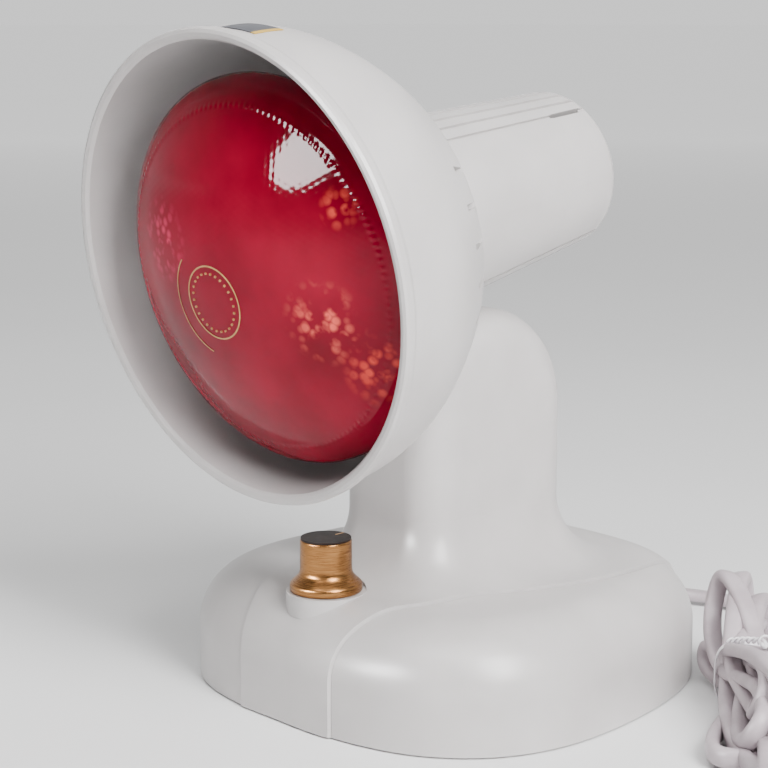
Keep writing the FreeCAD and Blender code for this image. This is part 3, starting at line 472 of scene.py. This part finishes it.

# %% [markdown]
# ## Finishes of the solids
# Every solid gets the finish of what it is made of. The shells are injection-moulded ABS with
# a satin face: a very fine grain breaks up the gloss, and the grey drifts slightly. The metal
# parts differ in how they were worked: plated screws are brighter, iron is dull and rough. A
# table lists the values, and one loop builds them.

# %% table of finishes
# name: (shader values, dark and light hex, patch mm, grain mm, grain depth mm, roughness span)
FINISHES = {
    "satin_abs_warm_grey": (dict(IOR=1.54, Coat_Weight=0.12, Coat_Roughness=0.3),
                            "B9B5B4", "C0BCBB", 22, 0.45, 0.012, (0.3, 0.38)),
    "black_glass_filled_nylon": (dict(IOR=1.53), "141416", "1D1D20", 9, 0.6, 0.05, (0.5, 0.65)),
    "black_nitrile_rubber": (dict(IOR=1.52), "101010", "1A1918", 6, 0.9, 0.08, (0.75, 0.9)),
    "cast_iron_painted": (dict(Metallic=0.6), "232323", "343332", 5, 1.2, 0.12, (0.6, 0.8)),
    "zinc_plated_steel": (dict(Metallic=1), "A9ABAE", "C2C4C6", 4, 0.3, 0.01, (0.24, 0.38)),
    "drawn_brass": (dict(Metallic=1), "B88F45", "D2AC63", 5, 0.3, 0.01, (0.22, 0.36)),
    "steatite_ceramic": (dict(IOR=1.6, Coat_Weight=0.3), "DAD5C9", "E8E4DA", 7, 0.5, 0.02,
                         (0.25, 0.4)),
    "vulcanised_fibre": (dict(IOR=1.5), "5E3320", "7A4630", 3, 0.25, 0.03, (0.6, 0.75)),
    "spun_aluminium": (dict(Metallic=1), "BDBEC0", "D2D3D4", 6, 0.25, 0.01, (0.22, 0.34)),
    "glass_with_mirror_coat": (dict(Metallic=0.9), "C4C5C8", "DADBDD", 12, 1.5, 0.02,
                               (0.06, 0.16)),
    "clear_flint_glass": (dict(IOR=1.5, Transmission_Weight=0.85), "E6EAEA", "F4F6F6", 6, 1.5,
                          0.01, (0.03, 0.08)),
    "vitrite_black_glass": (dict(IOR=1.55), "0A0A10", "15151C", 3, 0.6, 0.03, (0.12, 0.25)),
    "soldered_tin": (dict(Metallic=1), "9C9DA0", "B8B9BC", 1.2, 0.5, 0.08, (0.25, 0.45)),
    "coiled_tungsten": (dict(Metallic=1), "55565A", "737478", 0.6, 0.12, 0.05, (0.35, 0.5)),
    "epoxy_glass_board": (dict(IOR=1.55), "3C5A22", "4C6E2C", 3, 0.35, 0.03, (0.35, 0.5)),
    "enamelled_copper_wire": (dict(Metallic=0.9), "8E4320", "B8602F", 1.2, 0.4, 0.1,
                              (0.22, 0.34)),
    "silicone_lead_sheath": (dict(IOR=1.43), "A8A6A4", "BAB8B6", 5, 0.4, 0.03, (0.5, 0.62)),
    "soft_pvc_mauve_grey": (dict(IOR=1.53, Coat_Weight=0.1, Coat_Roughness=0.35),
                            "A69A9F", "B5AAAF", 9, 0.55, 0.03, (0.36, 0.5)),
    "grey_pvc_grommet": (dict(IOR=1.53), "8F8B8C", "9D999A", 5, 0.5, 0.03, (0.45, 0.6)),
    "paper_covered_wire": (dict(IOR=1.5, Sheen_Weight=0.2), "DAD6DA", "ECE9EC", 2, 0.35, 0.05,
                           (0.55, 0.75)),
    "brown_anodised_disc": (dict(Specular_IOR_Level=0.2), "1C0F0A", "27160E", 5, 0.25,
                            0.008, (0.45, 0.6)),
    "gold_screen_print": (dict(Metallic=0.6), "B98A55", "D0A26C", 2, 0.3, 0.01, (0.35, 0.5)),
}
made = {}
for name, (shader, dark, light, patch, fine, deep, span) in FINISHES.items():
    material, tree, surface, place = new_material(name, **shader)
    grain(tree, surface, place, fine, deep)
    mottled(tree, surface, place, patch, dark, light)
    rough_drift(tree, surface, place, patch / 2, *span)
    made[name] = material
print(len(made), "finishes")

# %% [markdown]
# ## Turned, brushed gold
# The dial is turned aluminium, brushed while it spins and dyed a copper gold. Brushing leaves
# rings round the axis, so the noise is stretched: it hardly changes round the dial and
# changes quickly up it. The rings are about 0.15 mm apart. The label is a plain film in two
# colours, which meet at a straight line.

# %% brushed gold and label
brushed, tree, surface, place = new_material("brushed_gold_aluminium", Metallic=1)
surface.inputs["Anisotropic"].default_value = 0.55
streaks = grain(tree, surface, place, 6, 0.012, 0.6, 6, stretch=(1, 1, 42))
ramp = add(tree, "ShaderNodeValToRGB", links=[("Fac", streaks)])
ramp.color_ramp.elements[0].position, ramp.color_ramp.elements[1].position = 0.3, 0.7
ramp.color_ramp.elements[0].color = linear("7A4E2B")
ramp.color_ramp.elements[1].color = linear("A87A4A")
tree.links.new(ramp.outputs["Color"], surface.inputs["Base Color"])
tree.links.new(ranged(tree, streaks, 0, 1, 0.2, 0.36), surface.inputs["Roughness"])
made["brushed_gold_aluminium"] = brushed

LABEL_LEFT, LABEL_RIGHT = 1 * MM, 16.5 * MM
label, tree, surface, place = new_material("printed_label_film", IOR=1.5)
grain(tree, surface, place, 0.8, 0.01)
split = add(tree, "ShaderNodeSeparateXYZ", links=[("Vector", place)])
ink = add(tree, "ShaderNodeValToRGB",
          links=[("Fac", ranged(tree, split.outputs["X"], LABEL_LEFT, LABEL_RIGHT, 0, 1))])
ink.color_ramp.interpolation = "CONSTANT"
ink.color_ramp.elements[0].color = linear("3A3C44")
ink.color_ramp.elements[1].position = 0.86
ink.color_ramp.elements[1].color = linear("C9A23A")
tree.links.new(ink.outputs["Color"], surface.inputs["Base Color"])
rough_drift(tree, surface, place, 3, 0.3, 0.42)
made["printed_label_film"] = label
print("brushed gold and label ready")

# %% give each solid its finish
WEARS = {
    "satin_abs_warm_grey": "centre_shell left_cheek right_cheek shade lamp_housing tilt_arm",
    "black_glass_filled_nylon": "base_plate film_capacitor terminal_block cord_clamp",
    "black_nitrile_rubber": "anti_slip_pad",
    "cast_iron_painted": "ballast_plate",
    "zinc_plated_steel": "holder_plate holder_screws shade_screws arm_screws base_screws "
                         "board_screws clamp_screws bracket_screws hinge_bracket pivot_bolt "
                         "pivot_nut spring_washer potentiometer_shaft potentiometer_case",
    "drawn_brass": "screw_shell centre_contact potentiometer_bush potentiometer_nut plug_pins",
    "steatite_ceramic": "lamp_holder",
    "vulcanised_fibre": "friction_washers",
    "spun_aluminium": "lamp_cap triac_heat_sink",
    "glass_with_mirror_coat": "lamp_reflector",
    "clear_flint_glass": "filament_stem",
    "vitrite_black_glass": "cap_insulator",
    "soldered_tin": "cap_contact",
    "coiled_tungsten": "filament",
    "epoxy_glass_board": "dimmer_board",
    "enamelled_copper_wire": "suppressor_choke",
    "silicone_lead_sheath": "neck_lead dimmer_lead head_lead",
    "grey_pvc_grommet": "cord_gland",
    "soft_pvc_mauve_grey": "cord_entry",
    "brown_anodised_disc": "dial_cap",
    "printed_label_film": "blank_label",
}


def wear(piece, finish):
    """Puts a finish on every material slot of a piece."""
    if not piece.material_slots:
        piece.data.materials.append(None)
    for place_on_piece in piece.material_slots:
        place_on_piece.material = made[finish]


for finish, names in WEARS.items():
    for name in names.split():
        wear(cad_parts[name], finish)
wear(cord, "soft_pvc_mauve_grey")
for piece in tie_pieces:
    wear(piece, "paper_covered_wire")
print("solids finished")

# %% [markdown]
# ## The face of the lamp
# The lamp's face is pressed ruby glass. The inside of the mould is covered with small round
# pebbles that spread the light, a ring of teeth runs round them, and a smooth shoulder leads
# to the rim. The pebbles are real relief here, so they break up reflections from any side. A
# disc made of rings would crowd its points at the middle, so a square grid is bent to a disc.

# %% the head's own frame
# The middle of the shade's rim, how far the head leans back, and how the lamp sits askew in
# its holder: the point that it turns about, in millimetres behind the rim, and two angles.
RIM_MIDDLE, HEAD_LEAN = (0, -95.8, 144.5), 9.28
LAMP_PIVOT, LAMP_YAW, LAMP_PITCH = 120, -2.35, 1.5
head_frame = (Matrix.Translation(RIM_MIDDLE)
              @ Matrix.Rotation(math.radians(HEAD_LEAN - 90), 4, "X"))
lamp_frame = (head_frame @ Matrix.Translation((0, 0, LAMP_PIVOT))
              @ Matrix.Rotation(math.radians(LAMP_YAW), 4, "Y")
              @ Matrix.Rotation(math.radians(LAMP_PITCH), 4, "X")
              @ Matrix.Translation((0, 0, -LAMP_PIVOT)))


def on_lamp(x, y, z):
    """A point of the lamp's own frame, in metres of the object's frame."""
    return (lamp_frame @ Vector((x, y, z))) * MM


print("lamp axis", tuple(round(c, 3) for c in (lamp_frame.to_3x3() @ Vector((0, 0, 1)))))

# %% pressed glass
GRID, PEBBLED, PITCH, PEBBLE, TEETH = 210, 54.5, 2.3, 0.02, 150
FACE_RADIUS, FACE_FRONT = 120, -6.2
PEBBLES_END, TEETH_RADIUS, TOOTH_HALF, TOOTH_HEIGHT = 51.2, 52.9, 1.1, 0.3


def face_height(radius):
    return FACE_FRONT + FACE_RADIUS - np.sqrt(FACE_RADIUS ** 2 - radius ** 2)


def relief(x, y):
    """How far the pebbles and the ring of teeth stand out, in millimetres."""
    radius = np.hypot(x, y)
    # A slow warp keeps the pebbles from lying in perfect rows.
    warp_x = x + 0.35 * np.sin(y / 4.1 + 0.6) + 0.25 * np.sin(x / 6.3)
    warp_y = y + 0.35 * np.sin(x / 4.7 + 1.9)
    wave = 4 * math.pi / (math.sqrt(3) * PITCH)
    bumps = sum(np.cos(wave * (warp_x * math.cos(t) + warp_y * math.sin(t)))
                for t in (0, 2 * math.pi / 3, 4 * math.pi / 3)) / 3
    inside = np.clip((PEBBLES_END - radius) / 1.2, 0, 1)
    ring = np.clip(1 - np.abs(radius - TEETH_RADIUS) / TOOTH_HALF, 0, 1)
    teeth = np.abs(np.sin(TEETH / 2 * np.arctan2(y, x)))
    return PEBBLE * bumps * inside + TOOTH_HEIGHT * ring * teeth


a, b = np.meshgrid(np.linspace(-1, 1, GRID), np.linspace(-1, 1, GRID), indexing="ij")
wide = np.abs(a) > np.abs(b)
safe_a, safe_b = np.where(a == 0, 1, a), np.where(b == 0, 1, b)
radius = np.where(wide, a, b) * PEBBLED
turn = np.where(wide, math.pi / 4 * b / safe_a, math.pi / 2 - math.pi / 4 * a / safe_b)
turn = np.where((a == 0) & (b == 0), 0, turn)
x, y = radius * np.cos(turn), radius * np.sin(turn)
z = face_height(np.hypot(x, y)) - relief(x, y)
points = [on_lamp(*p) for p in zip(x.ravel(), y.ravel(), z.ravel())]
faces = [(i * GRID + k, (i + 1) * GRID + k, (i + 1) * GRID + k + 1, i * GRID + k + 1)
         for i in range(GRID - 1) for k in range(GRID - 1)]
edge = ([k for k in range(GRID)] + [i * GRID + GRID - 1 for i in range(1, GRID)]
        + [(GRID - 1) * GRID + k for k in range(GRID - 2, -1, -1)]
        + [i * GRID for i in range(GRID - 2, 0, -1)])
# The smooth shoulder, the rim and the plain back, as radius and height.
around = [(55.6, face_height(55.6) + 0.15), (57, 8.75), (58.4, 9.9), (59.5, 11.3),
          (60.2, 12.8), (60.5, 14.4), (60.5, 15.8), (60.3, 16.9), (57.9, 16.9), (57.6, 14.6),
          (55.5, 11.4), (50, 8), (40, 3.6), (26, -0.6), (12, -3), (4, -3.6)]
last_ring = edge
flat_x, flat_y = x.ravel(), y.ravel()
directions = [math.atan2(flat_y[i], flat_x[i]) for i in edge]
for ring_radius, height in around:
    start = len(points)
    points += [on_lamp(ring_radius * math.cos(t), ring_radius * math.sin(t), height)
               for t in directions]
    ring = list(range(start, len(points)))
    for k in range(len(ring)):
        after = (k + 1) % len(ring)
        faces.append((last_ring[k], last_ring[after], ring[after], ring[k]))
    last_ring = ring
faces.append(tuple(last_ring))
lens = mesh_object("pressed_lens", points, faces)
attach(lens, "head")
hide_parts("lamp_lens")
print("lens faces", len(lens.data.polygons))

# %% [markdown]
# Ruby glass is deep crimson with a clear gloss, and broad drifts darken it here and there.
# Behind it, the mirrored bowl throws small patches of light forwards; four areas of the colour
# hold painted reflections of them, bright cells about 3 mm across. Their places are fixed to the
# glass.

# %% ruby glass
ruby, tree, surface, place = new_material("pressed_ruby_glass", IOR=1.5, Roughness=0.06,
                                          Specular_IOR_Level=0.14)
colour = mottled(tree, surface, place, 38, "6A0016", "98032A", 0.3, 0.7).outputs["Color"]
# Painted reflections: round bright cells about 3 mm across, let through in patches by a slow
# noise.
GLINT_CELL, PATCH = 3.1, 7
cells = add(tree, "ShaderNodeTexVoronoi", links=[("Vector", place)], Scale=1000 / GLINT_CELL,
            feature="F1")
painted_glints = ranged(tree, cells.outputs["Distance"], 0.62, 0.3, 0, 1)
patchy = add(tree, "ShaderNodeTexNoise", links=[("Vector", place)], Scale=1000 / PATCH,
             Detail=3)
gate = ranged(tree, patchy.outputs["Fac"], 0.4, 0.52, 0, 1)
# Each painted reflection: its place on the lamp, its radius and its colour.
PAINTED_REFLECTIONS = [((33, 8, -1), 14, "FF6A5A"), ((47, 24, 5), 13, "FF5040"),
                ((-31, -12, 0), 14, "F03464"), ((41, -25, 4), 7, "FF5A48")]
for spot, size, reflection_colour in PAINTED_REFLECTIONS:
    away = add(tree, "ShaderNodeVectorMath", links=[(0, place)], operation="DISTANCE",
               _1=tuple(on_lamp(*spot)))
    near = ranged(tree, away.outputs["Value"], size * MM, size * 0.2 * MM, 0, 0.8)
    both = add(tree, "ShaderNodeMath", operation="MULTIPLY", links=[(0, near), (1, gate)])
    share = add(tree, "ShaderNodeMath", operation="MULTIPLY",
                links=[(0, both.outputs["Value"]), (1, painted_glints)])
    mixed = add(tree, "ShaderNodeMix", data_type="RGBA",
                links=[(0, share.outputs["Value"]), (6, colour)])
    mixed.inputs[7].default_value = linear(reflection_colour)
    colour = mixed.outputs[2]
tree.links.new(colour, surface.inputs["Base Color"])
made["pressed_ruby_glass"] = ruby
wear(lens, "pressed_ruby_glass")
print("ruby glass ready")

# %% [markdown]
# ## The printed mark
# A lamp of this kind has a mark screen-printed in gold on its face. Here it is only a plain
# ring with a row of dots inside it, and a thin arc beside it. The ring is a thin band that
# follows the glass, and the dots are the repeat tree's blocks.

# %% printed ring, dots and line
MARK_MIDDLE, MARK_HALF = (-7.8, 4.4), (11.6, 11.3)
DOTS_SHARE, LINE_SHARE, LINE_START, LINE_SWEEP = 0.8, 1.53, 224, -118
RING_WIDTH, LINE_WIDTH, DOT, DOT_COUNT = 0.45, 0.35, 0.55 * MM, 26
# How far the print's back and face stand off the mean face of the glass.
PRINT_BACK, PRINT_FACE = 0.16, 0.24


def print_point(x, y, lift):
    return on_lamp(x, y, float(face_height(math.hypot(x, y))) - lift)


def oval(share, count, start=0, sweep=360):
    turns = [math.radians(start + sweep * i / count) for i in range(count)]
    return [(MARK_MIDDLE[0] + MARK_HALF[0] * share * math.cos(t),
             MARK_MIDDLE[1] + MARK_HALF[1] * share * math.sin(t)) for t in turns]


def print_band(name, path, width, closed):
    """A thin printed line along a path of the lamp's own x and y."""
    found = []
    count = len(path)
    for i, (px, py) in enumerate(path):
        before = path[(i - 1) % count if closed else max(i - 1, 0)]
        after = path[(i + 1) % count if closed else min(i + 1, count - 1)]
        away = Vector((after[1] - before[1], before[0] - after[0])).normalized() * width / 2
        found.append([print_point(px + away.x, py + away.y, PRINT_BACK),
                      print_point(px + away.x, py + away.y, PRINT_FACE),
                      print_point(px - away.x, py - away.y, PRINT_FACE),
                      print_point(px - away.x, py - away.y, PRINT_BACK)])
    if closed:
        found.append(found[0])
    return mesh_object(name, *skin(found, not closed), smooth=False)


ring_print = print_band("printed_ring", oval(1, 96), RING_WIDTH, True)
arc = oval(LINE_SHARE, 40, LINE_START, LINE_SWEEP)
line_print = print_band("printed_line", arc, LINE_WIDTH, False)
dots_print = repeat("printed_dots", [print_point(*p, 0.15) for p in oval(DOTS_SHARE, 48)],
                    DOT_COUNT, (DOT, DOT, DOT), made["gold_screen_print"])
for piece in (ring_print, line_print, dots_print):
    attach(piece, "head")
    wear(piece, "gold_screen_print")
print("printed mark:", len(dots_print.data.polygons), "dot faces")

# %% [markdown]
# ## The dial
# The dial is turned from bar: a flared skirt, a straight grip and a small round on each edge.
# A turned piece is one outline spun round an axis, so its rings come straight from the
# outline's points. A small printed line on top shows where it points.

# %% dial
def spun(name, outline, middle, segments=72):
    """A closed body of revolution about an upright axis; outline is (radius, height) in mm."""
    found = [[Vector((middle[0] + radius * math.cos(t), middle[1] + radius * math.sin(t),
                      height)) * MM for t in (2 * math.pi * k / segments
                                              for k in range(segments))]
             for radius, height in outline]
    return mesh_object(name, *skin(found))


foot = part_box("dial_knob")[0][2] / MM
dial_middle = (0, -57.9)
knob = spun("turned_dial", [
    (6, foot), (11.1, foot), (11.45, foot + 0.12), (11.6, foot + 0.5), (11.6, foot + 1.8),
    (11.5, foot + 2.3), (11.2, foot + 2.8), (9.6, foot + 4.3), (8.9, foot + 5.1),
    (8.5, foot + 5.9), (8.32, foot + 6.9), (8.3, foot + 8), (8.3, foot + 12),
    (8.3, foot + 15.9), (8.24, foot + 16.3), (8.1, foot + 16.52), (7.9, foot + 16.6),
    (4, foot + 16.6)], dial_middle)
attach(knob, "dial")
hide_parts("dial_knob")
wear(knob, "brushed_gold_aluminium")
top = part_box("dial_cap")[1][2]
pointer_points, pointer_faces = skin([
    [Vector((x * MM, (dial_middle[1] + y) * MM, top + h * MM))
     for x, h in ((-0.3, -0.02), (0.3, -0.02), (0.3, 0.06), (-0.3, 0.06))]
    for y in (4.2, 7.6)])
pointer = mesh_object("dial_pointer", pointer_points, pointer_faces, smooth=False)
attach(pointer, "dial")
wear(pointer, "gold_screen_print")
print("dial faces", len(knob.data.polygons))

# %% [markdown]
# ## The plug
# The plug is moulded in the same soft PVC as the cord. Its body is a loft: rounded sections
# that swell from the cord to the grip and end in a flat face, with narrow sections in between
# that make the grip ribs.

# %% plug
plug_start = Vector(TAIL[-1])
plug_axis = -Vector((hank_along.x, hank_along.y, 0)).normalized()
plug_side = plug_axis.cross(UP).normalized()
stations = [(-0.5, 3.3, 2.6), (0.3, 3.9, 3.6), (3, 4.4, 4)]
for rib in range(4):
    stations += [(3.4 + 2.4 * rib, 4.4 + 0.35 * rib, 3.9 + 0.35 * rib),
                 (3.8 + 2.4 * rib, 3.7 + 0.35 * rib, 3.4 + 0.35 * rib),
                 (4.6 + 2.4 * rib, 3.8 + 0.35 * rib, 3.5 + 0.35 * rib),
                 (5 + 2.4 * rib, 4.6 + 0.35 * rib, 4.1 + 0.35 * rib)]
stations += [(13.4, 6, 5.5), (14.5, 8.2, 6.4), (16, 10.6, 7.5), (17.6, 11.7, 8.2)]
for rib in range(5):
    stations += [(18.6 + 2.6 * rib, 12, 8.5), (19 + 2.6 * rib, 11.6, 7.9),
                 (19.9 + 2.6 * rib, 11.6, 7.9), (20.3 + 2.6 * rib, 12, 8.5)]
stations += [(32.6, 12, 8.5), (33.2, 12.9, 8.75), (38.2, 13, 8.8), (38.8, 12.8, 8.6),
             (39, 12.3, 8.1)]
PLUG_RING, PLUG_CORNER = 40, 0.55
rings = []
for far, half, high in stations:
    ring = []
    for k in range(PLUG_RING):
        t = 2 * math.pi * k / PLUG_RING
        side = rounded(math.cos(t), PLUG_CORNER) * half
        lift = rounded(math.sin(t), PLUG_CORNER) * high
        ring.append((plug_start + plug_axis * far + plug_side * side + UP * lift) * MM)
    rings.append(ring)
plug = mesh_object("moulded_plug", *skin(rings))
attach(plug, "base")
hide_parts("plug_body")
wear(plug, "soft_pvc_mauve_grey")
print("plug sections", len(rings))

# %% [markdown]
# ## Floor and light
# A pale floor fills the view and gets brighter on its far side, as paper with a light of its
# own does, and the sky is bright on that side too, so the two meet without an edge. The near
# side stays dim, which leaves the shells' left faces in shade and the ruby glass deep. A
# large softbox at the right models the shells, one from above and in front lights the tops,
# and a small one in front only leaves a clear window on the gloss.

# %% stage
FLOOR_HALF, FAR_SIDE = 60, (-0.7, 0.7, 0)
corners = [(x * FLOOR_HALF, y * FLOOR_HALF, 0) for x, y in ((-1, -1), (1, -1), (1, 1), (-1, 1))]
floor = mesh_object("floor", corners, [(0, 1, 2, 3)], smooth=False)
if floor.data.polygons[0].normal.z < 0:
    floor.data.flip_normals()
paper, tree, surface, place = new_material("white_paper_sweep", IOR=1.45,
                                           Emission_Color=(1, 1, 1, 1))
mottled(tree, surface, place, 400, "E4E4E4", "E8E8E8")
beyond = add(tree, "ShaderNodeVectorMath", links=[(0, place)], operation="DOT_PRODUCT",
             _1=FAR_SIDE)
tree.links.new(ranged(tree, beyond.outputs["Value"], 0.2, 3, 0, 0.6),
               surface.inputs["Emission Strength"])
rough_drift(tree, surface, place, 90, 0.8, 0.9)
made["white_paper_sweep"] = paper
wear(floor, "white_paper_sweep")

world = bpy.data.worlds.new("studio")
bpy.context.scene.world = world
world.use_nodes = True
tree = world.node_tree
sky = tree.nodes["Background"]
sky.inputs["Color"].default_value = (1, 1, 1, 1)
direction = add(tree, "ShaderNodeTexCoord").outputs["Generated"]
towards = add(tree, "ShaderNodeVectorMath", links=[(0, direction)], operation="DOT_PRODUCT",
              _1=FAR_SIDE)
tree.links.new(ranged(tree, towards.outputs["Value"], -0.2, 0.7, 0.1, 1),
               sky.inputs["Strength"])


def softbox(name, place, aim, width, height, watts):
    """A rectangular area light that faces a point."""
    data = bpy.data.lights.new(name, "AREA")
    data.shape, data.size, data.size_y, data.energy = "RECTANGLE", width, height, watts
    light = bpy.data.objects.new(name, data)
    light.location = place
    light.rotation_euler = (Vector(aim) - Vector(place)).to_track_quat("-Z", "Y").to_euler()
    bpy.context.collection.objects.link(light)
    return light


softbox("key", (1.0, -0.25, 0.8), (0, -0.02, 0.09), 0.45, 0.8, 36)
softbox("overhead", (0.25, -0.5, 1.1), (0, -0.05, 0.1), 0.7, 0.6, 9)
window = softbox("window", (-0.19, -1.03, 0.38), (0.035, -0.097, 0.181), 0.5, 0.27, 24)
window.visible_diffuse = False
window.data.shape = "ELLIPSE"
window.rotation_euler.rotate_axis("Z", math.radians(30))
print("stage lit")
